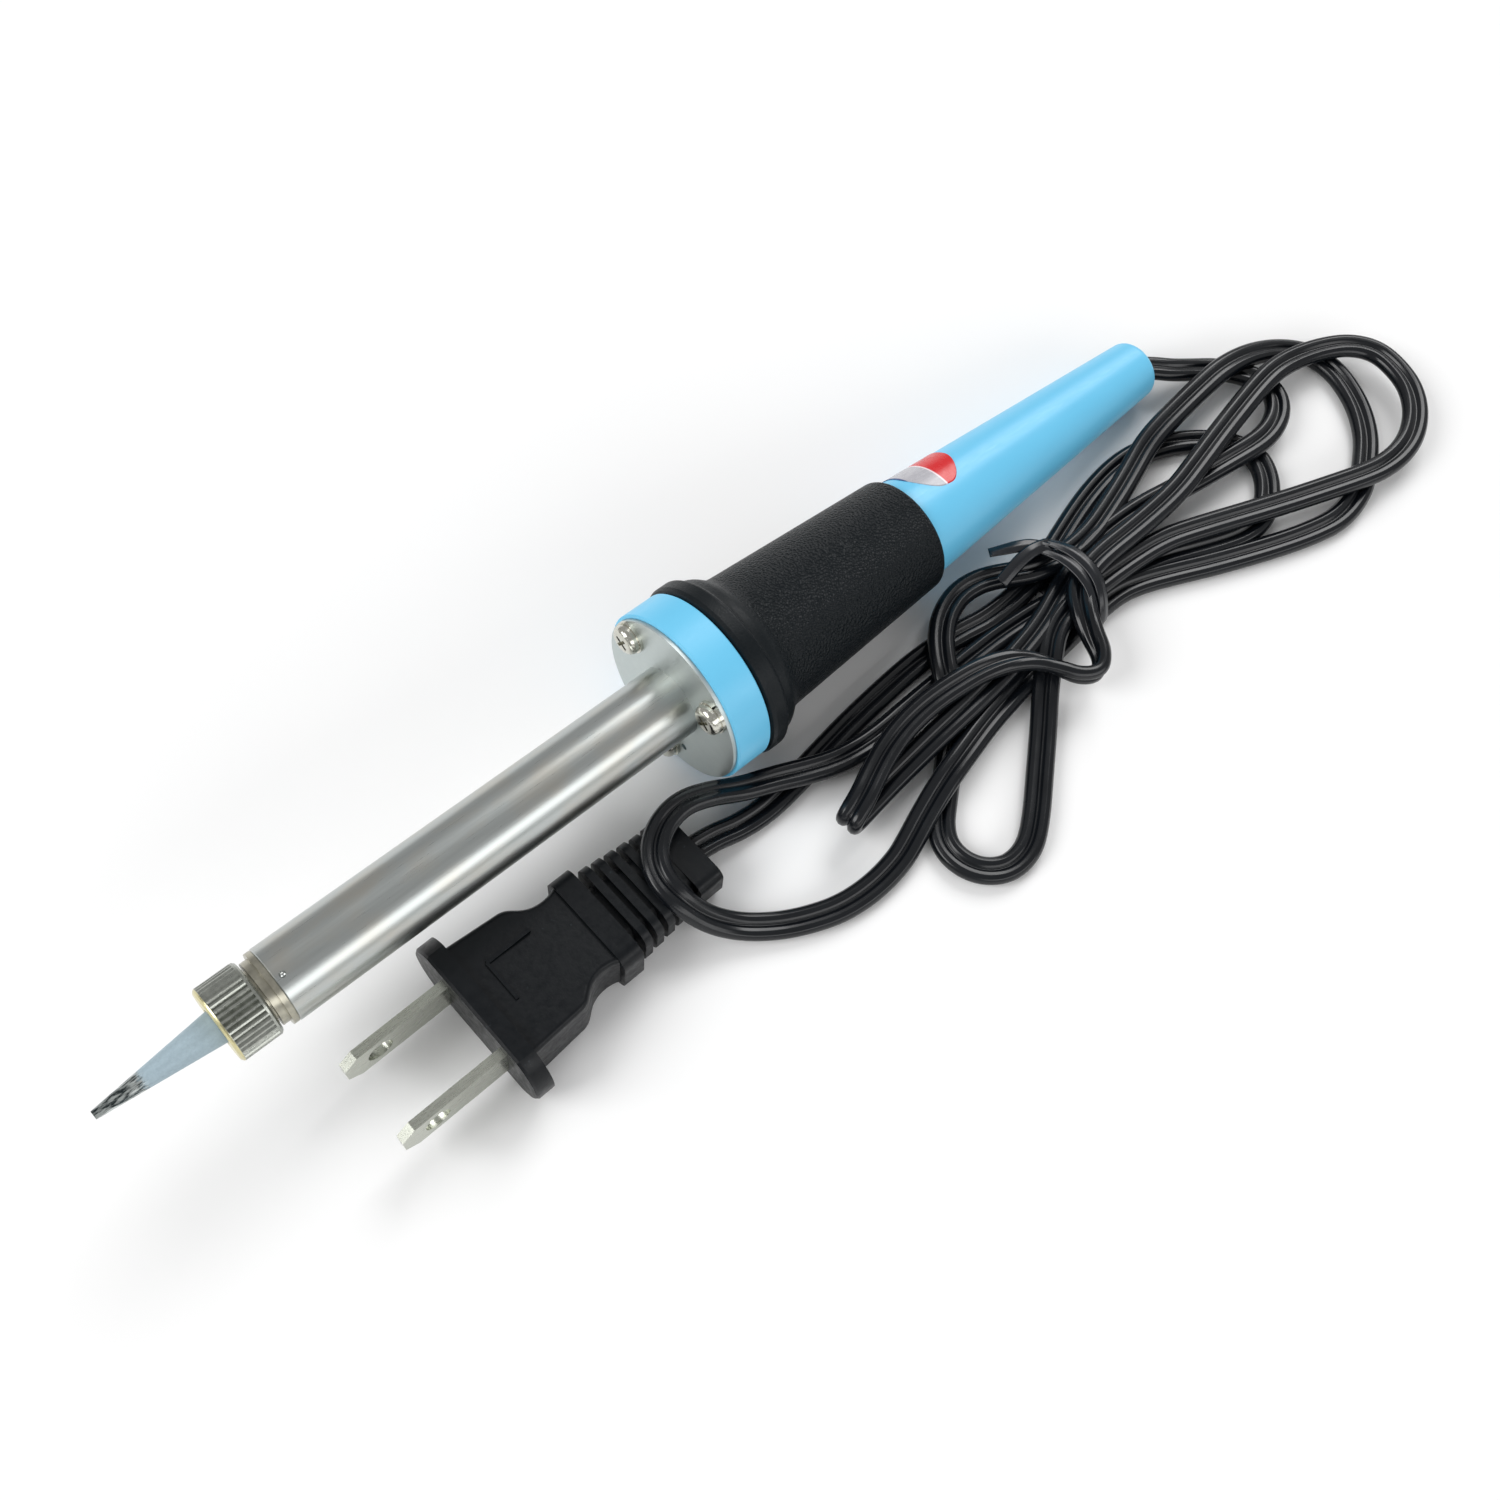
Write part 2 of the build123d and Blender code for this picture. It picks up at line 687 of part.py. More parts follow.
# ---------------------------------------------------------------- plug blades
with BuildPart() as plug_blades:
    for side in (1, -1):
        blade_plane = Plane(
            origin=PLUG.from_local_coords((0, side * BLADE_SPACING / 2, 0)),
            x_dir=PLUG.x_dir,
            z_dir=PLUG.y_dir,
        )
        with BuildSketch(blade_plane):
            with BuildLine():
                Polyline(
                    (BLADE_ROOT, BLADE_W / 2),
                    (-BLADE_LEN + BLADE_CHAMFER_LEN, BLADE_W / 2),
                    (-BLADE_LEN, BLADE_W / 2 - BLADE_CHAMFER_IN),
                    (-BLADE_LEN, -BLADE_W / 2 + BLADE_CHAMFER_IN),
                    (-BLADE_LEN + BLADE_CHAMFER_LEN, -BLADE_W / 2),
                    (BLADE_ROOT, -BLADE_W / 2),
                    close=True,
                )
            make_face()
            with Locations((-BLADE_HOLE_AT, 0)):
                Circle(BLADE_HOLE_R, mode=Mode.SUBTRACT)
        extrude(amount=BLADE_T / 2, both=True)
save(plug_blades, "plug_blades")

with BuildPart() as plug_bridge:
    with BuildSketch(plug_section(BRIDGE_FRONT)):
        RectangleRounded(BRIDGE_W, BRIDGE_H, BRIDGE_CORNER)
        with GridLocations(BLADE_SPACING, 0, 2, 1):
            Rectangle(BLADE_T, BLADE_W, mode=Mode.SUBTRACT)
    extrude(amount=BRIDGE_REAR - BRIDGE_FRONT)
save(plug_bridge, "plug_bridge")

with BuildPart() as plug_wires:
    with BuildSketch(plug_section(BLADE_ROOT)):
        with GridLocations(PLUG_WIRE_SPACING, 0, 2, 1):
            Circle(PLUG_WIRE_R)
    extrude(amount=PLUG_WIRE_REAR - BLADE_ROOT)
save(plug_wires, "plug_wires")

# ---------------------------------------------------------------- moulded plug body
with BuildPart() as plug_body:
    # Waisted body: its plan cut by its side view
    with BuildSketch(PLUG):
        with BuildLine():
            for side in (1, -1):
                shoulder = Line((FLANGE_T - 0.5, side * BODY_FRONT_W / 2), (BELLY_AT, side * BODY_BELLY_W / 2))
                Spline(
                    shoulder @ 1,
                    (WAIST_FRONT, side * (BODY_WAIST_W / 2 + 0.75)),
                    (WAIST_REAR, side * (BODY_WAIST_W / 2 - 0.1)),
                    (COLLAR_FRONT + 1.0, side * COLLAR_W / 2 * 0.97),
                    tangents=((1, -0.12 * side), (0.5, side)),
                )
            Line((FLANGE_T - 0.5, BODY_FRONT_W / 2), (FLANGE_T - 0.5, -BODY_FRONT_W / 2))
            Line((COLLAR_FRONT + 1.0, COLLAR_W / 2 * 0.97), (COLLAR_FRONT + 1.0, -COLLAR_W / 2 * 0.97))
        make_face()
    extrude(amount=BODY_H, both=True)
    side_view = Plane(origin=PLUG.origin, x_dir=PLUG.x_dir, z_dir=PLUG.y_dir)
    with BuildSketch(side_view):
        with BuildLine():
            Polyline(
                (FLANGE_T - 1.0, BODY_H / 2),
                (COLLAR_FRONT + 1.0, COLLAR_H / 2 - 0.5),
                (COLLAR_FRONT + 1.0, -COLLAR_H / 2 + 0.5),
                (FLANGE_T - 1.0, -BODY_H / 2),
                close=True,
            )
        make_face()
    extrude(amount=FLANGE_W, both=True, mode=Mode.INTERSECT)
    long_edges = plug_body.edges().filter_by(lambda e: e.length > 5 and abs(e.tangent_at(0.5).dot(PLUG.x_dir)) > 0.6)
    fillet(long_edges, BODY_EDGE)
    # Face flange with blunt-pointed ends
    with BuildSketch(plug_section(FLANGE_CHAMFER)) as flange_outline:
        with BuildLine():
            for side in (1, -1):
                Line((-FLANGE_FLAT_W / 2, side * FLANGE_H / 2), (FLANGE_FLAT_W / 2, side * FLANGE_H / 2))
                ThreePointArc(
                    (side * FLANGE_FLAT_W / 2, FLANGE_H / 2),
                    (side * FLANGE_W / 2, 0),
                    (side * FLANGE_FLAT_W / 2, -FLANGE_H / 2),
                )
        make_face()
    extrude(amount=FLANGE_T - FLANGE_CHAMFER)
    extrude(flange_outline.sketch, amount=-FLANGE_CHAMFER, taper=40)
    # Collar behind the waist
    with BuildSketch(plug_section(COLLAR_FRONT)):
        RectangleRounded(COLLAR_W, COLLAR_H, COLLAR_CORNER)
    extrude(amount=COLLAR_REAR - COLLAR_FRONT)
    # Strain relief: a tapered core, rings round it and a block at its end
    with BuildSketch(plug_section(COLLAR_REAR)):
        RectangleRounded(RELIEF_CORE_W, RELIEF_CORE_H, RELIEF_CORNER)
    extrude(amount=RELIEF_REAR - COLLAR_REAR)
    rib_pitch = (RELIEF_REAR - COLLAR_REAR) / (RIBS + 0.5)
    for rib in range(RIBS):
        share = rib / (RIBS - 1)
        with BuildSketch(plug_section(COLLAR_REAR + rib_pitch * (rib + 0.55))):
            RectangleRounded(
                RIB_W + (RIB_W_END - RIB_W) * share,
                RIB_H + (RIB_H_END - RIB_H) * share,
                COLLAR_CORNER,
            )
        extrude(amount=RIB_T)
    with BuildSketch(plug_section(RELIEF_REAR)):
        RectangleRounded(BLOCK_W, BLOCK_H, BLOCK_CORNER)
    extrude(amount=BLOCK_REAR - RELIEF_REAR)
    # Polarity mark on top: two thin raised lines
    mark_plane = Plane(
        origin=PLUG.from_local_coords((*MARK_CORNER, BODY_H / 2 - MARK_SINK)),
        x_dir=PLUG.x_dir,
        z_dir=PLUG.z_dir,
    )
    with BuildSketch(mark_plane):
        with Locations((MARK_LEN / 2, 0)):
            Rectangle(MARK_LEN, MARK_T)
        with Locations((0, -MARK_SIDE_LEN / 2)):
            Rectangle(MARK_SIDE_T, MARK_SIDE_LEN)
    extrude(amount=MARK_SINK + MARK_RISE)
    # Pockets for what is moulded in
    with BuildSketch(plug_section(BRIDGE_FRONT)):
        RectangleRounded(BRIDGE_W, BRIDGE_H, BRIDGE_CORNER)
    extrude(amount=BRIDGE_REAR - BRIDGE_FRONT, mode=Mode.SUBTRACT)
    with BuildSketch(plug_section(0)):
        with GridLocations(BLADE_SPACING, 0, 2, 1):
            Rectangle(BLADE_T, BLADE_W)
    extrude(amount=BLADE_ROOT, mode=Mode.SUBTRACT)
    with BuildSketch(plug_section(BLADE_ROOT)):
        with GridLocations(PLUG_WIRE_SPACING, 0, 2, 1):
            Circle(PLUG_WIRE_R)
    extrude(amount=PLUG_WIRE_REAR - BLADE_ROOT, mode=Mode.SUBTRACT)
save(plug_body, "plug_body")

# ---------------------------------------------------------------- cord tubes
LEAD_ROUTE = [
    (98.36, 0.0, 5.09),
    (103.5, 0.0, 4.58),
    (109.6, -3.8, 3.4),
    (112.2, -10.0, 3.0),
]
LOOP_ROUTE = [
    (7.0, -34.9, 2.2),
    (-4.5, -35.4, 2.0),
    (-15.8, -32.0, 4.8),
    (-23.2, -26.0, 9.8),
    (-24.4, -18.6, 10.2),
    (-20.0, -12.8, 10.2),
    (-12.4, -11.2, 8.8),
    (-5.0, -13.3, 4.8),
    (2.5, -16.8, 4.2),
    (7.5, -18.8, 4.2),
]
TAIL_ROUTE = [
    (-16.17, -16.22, 4.03),
    (-11.2, -16.19, 3.73),
    (-3.6, -17.4, 1.9),
    (2.2, -17.6, 1.6),
]


def bend_radii(points):
    """Largest bend that the shorter of the two runs at each corner allows."""
    radii = []
    for before, corner, after in zip(points, points[1:], points[2:]):
        run_in = Vector(*corner) - Vector(*before)
        run_out = Vector(*after) - Vector(*corner)
        turn = radians(run_in.get_angle(run_out))
        radii.append(0.45 * min(run_in.length, run_out.length) / tan(turn / 2))
    return radii


def cord_tube(name, points):
    """Tube of straight runs and tangent arcs along a route, lying flat."""
    radii = bend_radii(points)
    with BuildPart() as tube:
        with BuildLine() as path:
            FilletPolyline(*points, radius=radii)
        line = path.wires()[0]
        with BuildSketch(Plane(origin=line @ 0, z_dir=line % 0)):
            Circle(CORD_T / 2)
        sweep(path=line)
    swept = line.length * pi * CORD_T**2 / 4
    print(name, "radii", [round(r, 1) for r in radii], "volume ratio", round(tube.part.volume / swept, 3))
    save(tube, name)
    return tube


cord_lead = cord_tube("cord_lead", LEAD_ROUTE)
cord_loop = cord_tube("cord_loop", LOOP_ROUTE)
cord_tail = cord_tube("cord_tail", TAIL_ROUTE)

# ---------------------------------------------------------------- hank and its tie
HANK_OUTLINE = [
    (6.0, -14.8),
    (38.0, -10.6),
    (52.0, -11.0),
    (61.0, -13.4),
    (74.0, -9.0),
    (96.0, -6.6),
    (114.5, -6.0),
    (128.0, -10.0),
    (135.8, -22.0),
    (134.8, -35.0),
    (123.5, -46.6),
    (107.0, -47.4),
    (91.5, -41.0),
    (72.0, -33.0),
    (60.0, -30.6),
    (53.0, -38.0),
    (40.0, -41.0),
    (28.0, -51.6),
    (16.0, -52.0),
    (8.6, -43.0),
    (7.0, -38.6),
    (-1.0, -34.0),
    (-1.0, -27.0),
    (5.5, -21.0),
]
with BuildPart() as cord_hank:
    with BuildSketch():
        with BuildLine():
            Polyline(*HANK_OUTLINE, close=True)
        make_face()
    extrude(amount=HANK_H)
    with BuildSketch(Plane.YZ.offset(TIE_X - TIE_W / 2)):
        with Locations(((TIE_Y_NEAR + TIE_Y_FAR) / 2, HANK_H / 2)):
            Rectangle(2 * (TIE_Y_FAR - TIE_Y_NEAR), 2 * HANK_H)
            Rectangle(TIE_Y_FAR - TIE_Y_NEAR, HANK_H - 2 * TIE_T, mode=Mode.SUBTRACT)
    extrude(amount=TIE_W, mode=Mode.SUBTRACT)
    for tube in (cord_lead, cord_loop, cord_tail):
        add(tube.part, mode=Mode.SUBTRACT)
save(cord_hank, "cord_hank")

with BuildPart() as twist_tie:
    with BuildSketch(Plane.YZ.offset(TIE_X - TIE_W / 2)):
        with Locations(((TIE_Y_NEAR + TIE_Y_FAR) / 2, HANK_H / 2)):
            Rectangle(TIE_Y_FAR - TIE_Y_NEAR + 2 * TIE_T, HANK_H)
            Rectangle(TIE_Y_FAR - TIE_Y_NEAR, HANK_H - 2 * TIE_T, mode=Mode.SUBTRACT)
    extrude(amount=TIE_W)
    with BuildSketch(Plane.XY.offset(HANK_H)):
        with Locations((TIE_X, TIE_Y_FAR - KNOT_W / 2)):
            RectangleRounded(KNOT_LEN, KNOT_W, 0.8)
    extrude(amount=KNOT_H)
    for end_y in (TIE_Y_FAR - 0.6, TIE_Y_FAR - KNOT_W + 0.6):
        with BuildSketch(Plane.XY.offset(HANK_H + 0.8)):
            with Locations((TIE_X - KNOT_LEN / 2 - TAIL_LEN / 2 + 0.5, end_y)):
                Rectangle(TAIL_LEN, 1.0)
        extrude(amount=TIE_T)
save(twist_tie, "twist_tie")

# ---------------------------------------------------------------- size report
iron_box = Compound(
    children=[tip.part, tip_nut.part, barrel_tube.part, handle.part, grip_sleeve.part]
).bounding_box()
print("iron box", iron_box.min, iron_box.max)
print("plug exit", plug_section(BLOCK_REAR).origin, "handle exit", section(IRON_LENGTH).origin)
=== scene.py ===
import json
import math

import bpy
from mathutils import Matrix, Vector


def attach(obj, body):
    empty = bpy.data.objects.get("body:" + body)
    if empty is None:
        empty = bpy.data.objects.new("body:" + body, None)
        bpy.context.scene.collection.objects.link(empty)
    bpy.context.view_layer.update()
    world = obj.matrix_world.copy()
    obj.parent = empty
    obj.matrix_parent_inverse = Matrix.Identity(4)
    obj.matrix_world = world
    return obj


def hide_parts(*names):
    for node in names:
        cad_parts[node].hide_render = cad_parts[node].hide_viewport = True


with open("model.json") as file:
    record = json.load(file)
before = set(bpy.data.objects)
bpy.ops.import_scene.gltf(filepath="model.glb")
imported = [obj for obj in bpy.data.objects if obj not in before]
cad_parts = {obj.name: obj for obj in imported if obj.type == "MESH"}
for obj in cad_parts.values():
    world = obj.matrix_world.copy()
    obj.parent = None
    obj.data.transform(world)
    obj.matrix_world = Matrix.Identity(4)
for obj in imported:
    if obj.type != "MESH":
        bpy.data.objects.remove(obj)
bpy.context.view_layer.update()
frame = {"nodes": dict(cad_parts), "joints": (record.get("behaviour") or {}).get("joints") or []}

# Looks of a mains soldering iron with its tied flat cord. Metres, in the frame of the CAD part.
MM = 0.001
NODES = frame["nodes"]


# ---------------------------------------------------------------- camera
# Fitted to the iron's own outlines and to the standard spacing of the plug's blades.
CAMERA_AT = Vector((-0.06969, -0.08099, 0.21689))
CAMERA_RIGHT = Vector((0.74176, -0.67030, 0.02231))
CAMERA_DOWN = Vector((-0.59949, -0.67749, -0.42616))
CAMERA_AHEAD = Vector((0.30081, 0.30277, -0.90432))
CAMERA_LENS = 37.36
CAMERA_SENSOR = 36.0

camera_data = bpy.data.cameras.new("camera")
camera_data.lens = CAMERA_LENS
camera_data.sensor_width = CAMERA_SENSOR
camera_data.clip_start = 0.01
camera = bpy.data.objects.new("camera", camera_data)
bpy.context.scene.collection.objects.link(camera)
turn = Matrix((CAMERA_RIGHT, -CAMERA_DOWN, -CAMERA_AHEAD)).transposed()
camera.matrix_world = Matrix.Translation(CAMERA_AT) @ turn.to_4x4()
bpy.context.scene.camera = camera
bpy.context.scene.view_settings.view_transform = "Standard"
bpy.context.scene.view_settings.look = "None"


# ---------------------------------------------------------------- the iron's axis, from the joints
JOINTS = {joint["name"]: joint for joint in frame["joints"]}
AXIS = -Vector(JOINTS["tip_travel"]["axis"]).normalized()
NUT_STATION = 20.508 * MM
TIP_END = Vector(JOINTS["nut_turn"]["pos_m"]) - AXIS * NUT_STATION
SIDE = Vector((0, 1, 0))
UP = AXIS.cross(SIDE) if AXIS.cross(SIDE).z > 0 else SIDE.cross(AXIS)


# ---------------------------------------------------------------- shader building
def srgb(red, green, blue):
    """Linear colour from 8-bit screen values."""
    linear = []
    for value in (red, green, blue):
        share = value / 255
        linear.append(share / 12.92 if share <= 0.04045 else ((share + 0.055) / 1.055) ** 2.4)
    return (*linear, 1.0)


class Paint:
    """A procedural material under construction."""

    def __init__(self, name, colour, roughness, metallic=0.0, **sockets):
        self.material = bpy.data.materials.new(name)
        self.material.use_nodes = True
        self.tree = self.material.node_tree
        self.shader = self.tree.nodes["Principled BSDF"]
        self.shader.inputs["Base Color"].default_value = colour
        self.shader.inputs["Roughness"].default_value = roughness
        self.shader.inputs["Metallic"].default_value = metallic
        for socket, value in sockets.items():
            self.shader.inputs[socket.replace("_", " ")].default_value = value
        self.place = self.tree.nodes.new("ShaderNodeTexCoord").outputs["Object"]

    def join(self, source, socket):
        """Link an output, or set a plain value, on an input socket."""
        if isinstance(source, bpy.types.NodeSocket):
            self.tree.links.new(source, socket)
        else:
            socket.default_value = source

    def math(self, kind, first, second=0.0, clamp=False):
        node = self.tree.nodes.new("ShaderNodeMath")
        node.operation = kind
        node.use_clamp = clamp
        self.join(first, node.inputs[0])
        self.join(second, node.inputs[1])
        return node.outputs[0]

    def along(self, direction, origin=Vector((0, 0, 0)), place=None):
        """Distance in mm along a direction from an origin."""
        node = self.tree.nodes.new("ShaderNodeVectorMath")
        node.operation = "DOT_PRODUCT"
        self.join(place or self.place, node.inputs[0])
        node.inputs[1].default_value = tuple(direction / MM)
        return self.math("SUBTRACT", node.outputs["Value"], origin.dot(direction) / MM)

    def vector(self, x, y, z):
        node = self.tree.nodes.new("ShaderNodeCombineXYZ")
        for value, socket in zip((x, y, z), node.inputs):
            self.join(value, socket)
        return node.outputs[0]

    def local(self, station_scale=1.0, across_scale=1.0):
        """Iron's own coordinates in mm (station, side, up), scaled along and across."""
        station = self.math("MULTIPLY", self.along(AXIS, TIP_END), station_scale)
        side = self.math("MULTIPLY", self.along(SIDE, TIP_END), across_scale)
        up = self.math("MULTIPLY", self.along(UP, TIP_END), across_scale)
        return self.vector(station, side, up)

    def station(self):
        return self.along(AXIS, TIP_END)

    def turn(self):
        """Angle about the iron in radians, from the top towards -Y."""
        side = self.math("MULTIPLY", self.along(SIDE, TIP_END), -1.0)
        return self.math("ARCTAN2", side, self.along(UP, TIP_END))

    def noise(self, place, scale=1.0, detail=3.0, roughness=0.55):
        node = self.tree.nodes.new("ShaderNodeTexNoise")
        self.join(place, node.inputs["Vector"])
        node.inputs["Scale"].default_value = scale
        node.inputs["Detail"].default_value = detail
        node.inputs["Roughness"].default_value = roughness
        return node.outputs["Fac"]

    def cells(self, place, scale=1.0):
        node = self.tree.nodes.new("ShaderNodeTexVoronoi")
        self.join(place, node.inputs["Vector"])
        node.inputs["Scale"].default_value = scale
        return node.outputs["Distance"]

    def spread(self, value, low, high, to_low=0.0, to_high=1.0):
        """Map a range onto another, clamped."""
        node = self.tree.nodes.new("ShaderNodeMapRange")
        self.join(value, node.inputs["Value"])
        limits = {"From Min": low, "From Max": high, "To Min": to_low, "To Max": to_high}
        for socket, number in limits.items():
            node.inputs[socket].default_value = number
        return node.outputs["Result"]

    def band(self, value, low, high, edge):
        """1 inside a range, 0 outside it, with soft edges."""
        rise = self.spread(value, low - edge, low + edge)
        fall = self.spread(value, high - edge, high + edge, 1.0, 0.0)
        return self.math("MULTIPLY", rise, fall)

    def mix(self, share, first, second):
        node = self.tree.nodes.new("ShaderNodeMix")
        node.data_type = "RGBA"
        self.join(share, node.inputs["Factor"])
        self.join(first, node.inputs[6])
        self.join(second, node.inputs[7])
        return node.outputs[2]

    def colour(self, source):
        self.join(source, self.shader.inputs["Base Color"])

    def roughness(self, source):
        self.join(source, self.shader.inputs["Roughness"])

    def metallic(self, source):
        self.join(source, self.shader.inputs["Metallic"])

    def bump(self, height, distance_mm, strength=1.0):
        """Add a bump layer; layers stack in the order they are added."""
        node = self.tree.nodes.new("ShaderNodeBump")
        node.inputs["Strength"].default_value = strength
        node.inputs["Distance"].default_value = distance_mm * MM
        self.join(height, node.inputs["Height"])
        if self.shader.inputs["Normal"].is_linked:
            self.tree.links.new(self.shader.inputs["Normal"].links[0].from_socket, node.inputs["Normal"])
        self.tree.links.new(node.outputs["Normal"], self.shader.inputs["Normal"])

    def on(self, *names):
        """Give the material to CAD nodes."""
        for name in names:
            NODES[name].data.materials.clear()
            NODES[name].data.materials.append(self.material)


# ---------------------------------------------------------------- floor and light
FLOOR_HALF = 1.6
FLOOR_DROP = 0.02 * MM
floor_mesh = bpy.data.meshes.new("floor")
corners = [(-1, -1), (1, -1), (1, 1), (-1, 1)]
floor_points = [(x * FLOOR_HALF, y * FLOOR_HALF, -FLOOR_DROP) for x, y in corners]
floor_mesh.from_pydata(floor_points, [], [(0, 1, 2, 3)])
floor = bpy.data.objects.new("floor", floor_mesh)
bpy.context.scene.collection.objects.link(floor)
floor_paint = Paint("floor_paper", (0.92, 0.92, 0.92, 1), 0.9)
floor_paint.shader.inputs["Specular IOR Level"].default_value = 0.1
floor_mesh.materials.append(floor_paint.material)

world = bpy.data.worlds.new("studio")
bpy.context.scene.world = world
world.use_nodes = True
world.node_tree.nodes["Background"].inputs["Color"].default_value = (1, 1, 1, 1)
world.node_tree.nodes["Background"].inputs["Strength"].default_value = 0.4


def softbox(name, at, towards, width, height, power):
    """Rectangular area light facing a point."""
    data = bpy.data.lights.new(name, "AREA")
    data.shape = "RECTANGLE"
    data.size = width
    data.size_y = height
    data.energy = power
    lamp = bpy.data.objects.new(name, data)
    bpy.context.scene.collection.objects.link(lamp)
    lamp.location = at
    lamp.rotation_euler = (Vector(towards) - Vector(at)).to_track_quat("-Z", "Y").to_euler()


KEY_SIZE = 0.6
KEY_POWER = 6.2
KEY_AIM = (0, -0.02, 0)
softbox("key_tip_side", (-0.75, 0.35, 0.70), KEY_AIM, KEY_SIZE, KEY_SIZE, KEY_POWER)
softbox("key_handle_side", (0.80, 0.35, 0.75), KEY_AIM, KEY_SIZE, KEY_SIZE, KEY_POWER)
# A long low strip gives the barrel its bright band.
softbox("strip", (-0.02, -0.55, 0.28), (0, 0, 0.01), 0.9, 0.25, 1.5)


# ---------------------------------------------------------------- the cord
CORD_W = 4.4
CORD_T = 2.3
CORD_STEP = 6  # samples of the spline between two of its points

# The route from the handle to the plug: x, y, z in mm and the flat cord's lean in degrees.
# Each loop passes through the tie near x = 57.6.
LEAD = [
    (98.36, 0.0, 5.09, 0),
    (101.0, -1.8, 4.8, 0),
    (103.6, -4.3, 4.4, 0),
    (107.6, -6.4, 3.2, 0),
    (110.7, -8.3, 2.6, 0),
    (113.0, -10.8, 2.4, 0),
    (114.6, -13.6, 2.4, 0),
    (115.2, -16.6, 2.5, 0),
    (114.3, -19.7, 2.6, 0),
    (111.6, -22.1, 2.8, 0),
    (107.8, -23.5, 3.2, 0),
    (103.9, -23.8, 3.5, 0),
    (98.7, -23.1, 3.6, 0),
    (87.5, -21.3, 3.6, 0),
    (78.4, -19.4, 3.6, 0),
    (67.9, -19.0, 3.7, 0),
    (57.6, -21.6, 3.8, 0),
]
FOLD_UNDER = [
    (50.1, -24.2, 3.8, 0),
    (41.4, -25.6, 4.0, 0),
    (32.9, -26.4, 4.3, 0),
    (25.0, -26.8, 4.5, 0),
    (19.5, -27.1, 4.2, 0),
    (14.0, -27.4, 3.7, 0),
    (8.6, -27.9, 3.6, 0),
]
FOLD_OVER = [
    (4.4, -28.4, 3.7, 0),
    (3.6, -28.5, 5.2, 0),
    (4.4, -28.4, 6.8, 0),
    (7.8, -27.3, 7.0, 0),
    (11.2, -25.8, 6.8, 0),
    (15.4, -24.2, 6.7, 0),
    (20.3, -23.1, 6.7, 0),
    (25.5, -22.8, 6.8, 0),
    (30.2, -23.2, 6.9, 0),
    (35.6, -24.0, 6.8, 5),
    (40.2, -25.6, 6.6, 15),
    (43.6, -28.2, 6.3, 40),
    (45.6, -31.6, 6.0, 65),
    (47.3, -34.8, 5.6, 80),
    (50.0, -36.3, 5.4, 85),
    (52.5, -34.6, 5.6, 80),
    (54.0, -30.8, 5.9, 60),
    (56.0, -27.0, 6.2, 30),
    (58.7, -23.6, 6.3, 10),
]
FAR_LOOP = [
    (64.0, -22.1, 6.2, 0),
    (74.8, -22.3, 6.0, 0),
    (84.0, -22.0, 6.0, 0),
    (92.0, -20.4, 5.9, 0),
    (99.1, -18.9, 5.6, 0),
    (105.0, -17.8, 5.4, 0),
    (111.3, -16.7, 5.2, 0),
    (116.5, -16.2, 5.1, 0),
    (121.0, -16.6, 4.6, 0),
    (125.0, -17.6, 4.2, 0),
    (128.4, -18.9, 3.9, 0),
    (131.4, -20.7, 3.8, 0),
    (133.6, -23.2, 3.7, 0),
    (134.5, -26.0, 3.7, 0),
    (134.1, -29.6, 3.7, 0),
    (132.9, -33.2, 3.7, 0),
    (130.7, -36.2, 3.7, 0),
    (127.8, -38.6, 3.7, 0),
    (124.2, -40.4, 3.7, 0),
    (120.4, -41.2, 3.7, 0),
    (116.6, -41.1, 3.7, 0),
    (112.8, -40.3, 3.7, 0),
    (103.7, -36.9, 3.7, 0),
    (96.7, -34.2, 3.7, 0),
    (82.5, -28.2, 3.7, 0),
    (76.5, -26.0, 3.7, 0),
    (68.0, -25.0, 3.8, 0),
    (57.6, -24.6, 4.0, 0),
]
NEAR_LOOP = [
    (51.4, -25.8, 3.9, 0),
    (47.1, -28.8, 3.6, 0),
    (43.0, -32.2, 2.0, 0),
    (38.8, -36.0, 1.3, 0),
    (32.3, -41.3, 1.3, 0),
    (26.8, -45.8, 1.3, 0),
    (22.4, -48.6, 1.3, 0),
    (18.0, -48.9, 1.3, 0),
    (14.8, -46.9, 1.3, 0),
    (13.1, -43.7, 1.3, 0),
    (13.1, -40.1, 1.3, 0),
    (15.0, -37.1, 1.3, 0),
    (18.4, -34.4, 1.3, 0),
    (26.3, -28.2, 1.3, 0),
    (29.4, -25.4, 1.5, 0),
    (31.2, -22.9, 2.5, 0),
    (32.6, -20.4, 3.6, 0),
    (34.5, -17.6, 3.7, 0),
    (37.0, -14.8, 3.7, 0),
    (40.2, -12.5, 3.7, 0),
    (44.4, -11.2, 3.7, 0),
    (48.6, -11.7, 3.7, 0),
    (52.0, -13.3, 3.7, 0),
    (57.6, -16.9, 3.9, 0),
]
